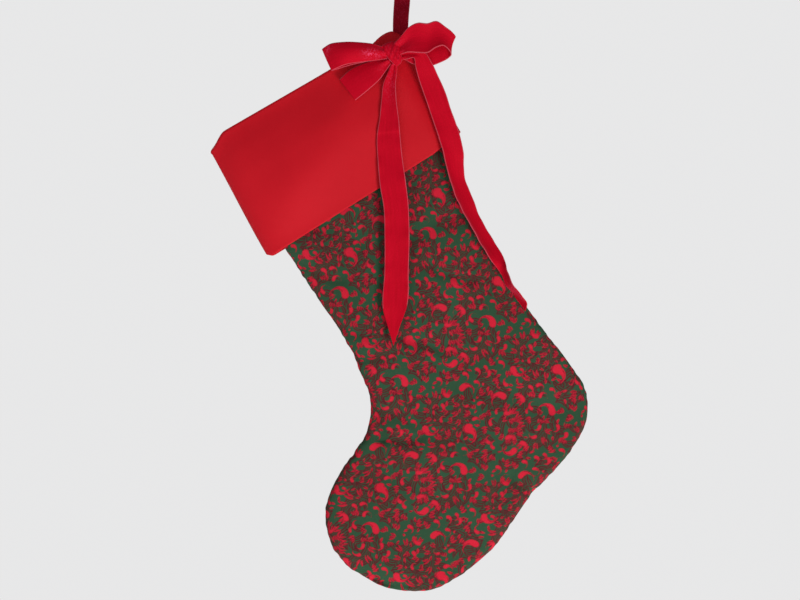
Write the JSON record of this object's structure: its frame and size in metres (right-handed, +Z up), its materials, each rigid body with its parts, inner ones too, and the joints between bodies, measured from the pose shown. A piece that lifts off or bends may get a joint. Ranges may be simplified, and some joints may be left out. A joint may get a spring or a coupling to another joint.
{
  "type": "hanging stocking",
  "caption": "Hanging fabric stocking with a padded printed leg and foot, a plain turned-down cuff, a velvet hanging loop and a velvet bow with long pointed tails.",
  "frame": {"origin": "centre of the hook that the hanging loop goes over", "axes": "+Z up as it hangs, +X towards the heel side, -Y towards the side with the bow"},
  "size_m": [0.3526, 0.0488, 0.5979],
  "materials": {
    "printed_cotton": "green cotton with a printed red scroll pattern",
    "cuff_cotton": "plain red woven cotton, faint sheen",
    "bow_velvet": "red velvet ribbon with pale woven edges",
    "loop_velvet": "dark red narrow velvet ribbon",
    "fleece": "white fleece batting",
    "lining_cotton": "plain green lining cotton",
    "thread": "red sewing thread"
  },
  "bodies": {
    "loop": {"hanging_loop": "loop_velvet"},
    "stocking": {"loop_sewn_end": "loop_velvet", "loop_bar_tack": "thread", "outer_front": "printed_cotton", "outer_back": "printed_cotton", "batting_front": "fleece", "batting_back": "fleece", "lining_front": "lining_cotton", "lining_back": "lining_cotton", "cuff_front": "cuff_cotton", "cuff_back": "cuff_cotton", "cuff_facing_front": "cuff_cotton", "cuff_facing_back": "cuff_cotton", "bow_knot": "bow_velvet", "bow_loop_left": "bow_velvet", "bow_loop_right": "bow_velvet", "bow_short_tail": "bow_velvet", "bow_tack": "thread"},
    "centre_tail": {"bow_tail_centre": "bow_velvet"},
    "right_tail": {"bow_tail_right": "bow_velvet"}
  },
  "joints": [
    {"name": "loop_swing", "type": "hinge", "parent": "loop", "child": "stocking", "pos_m": [0, 0, -0.06], "axis": [1, 0, 0], "range_deg": [-20, 20]},
    {"name": "centre_tail_lift", "type": "hinge", "parent": "stocking", "child": "centre_tail", "pos_m": [-0.00646, -0.0172, -0.09977], "axis": [-1, 0, 0], "range_deg": [0, 60]},
    {"name": "right_tail_lift", "type": "hinge", "parent": "stocking", "child": "right_tail", "pos_m": [0.01254, -0.0172, -0.09977], "axis": [-1, 0, 0], "range_deg": [0, 60]}
  ]
}
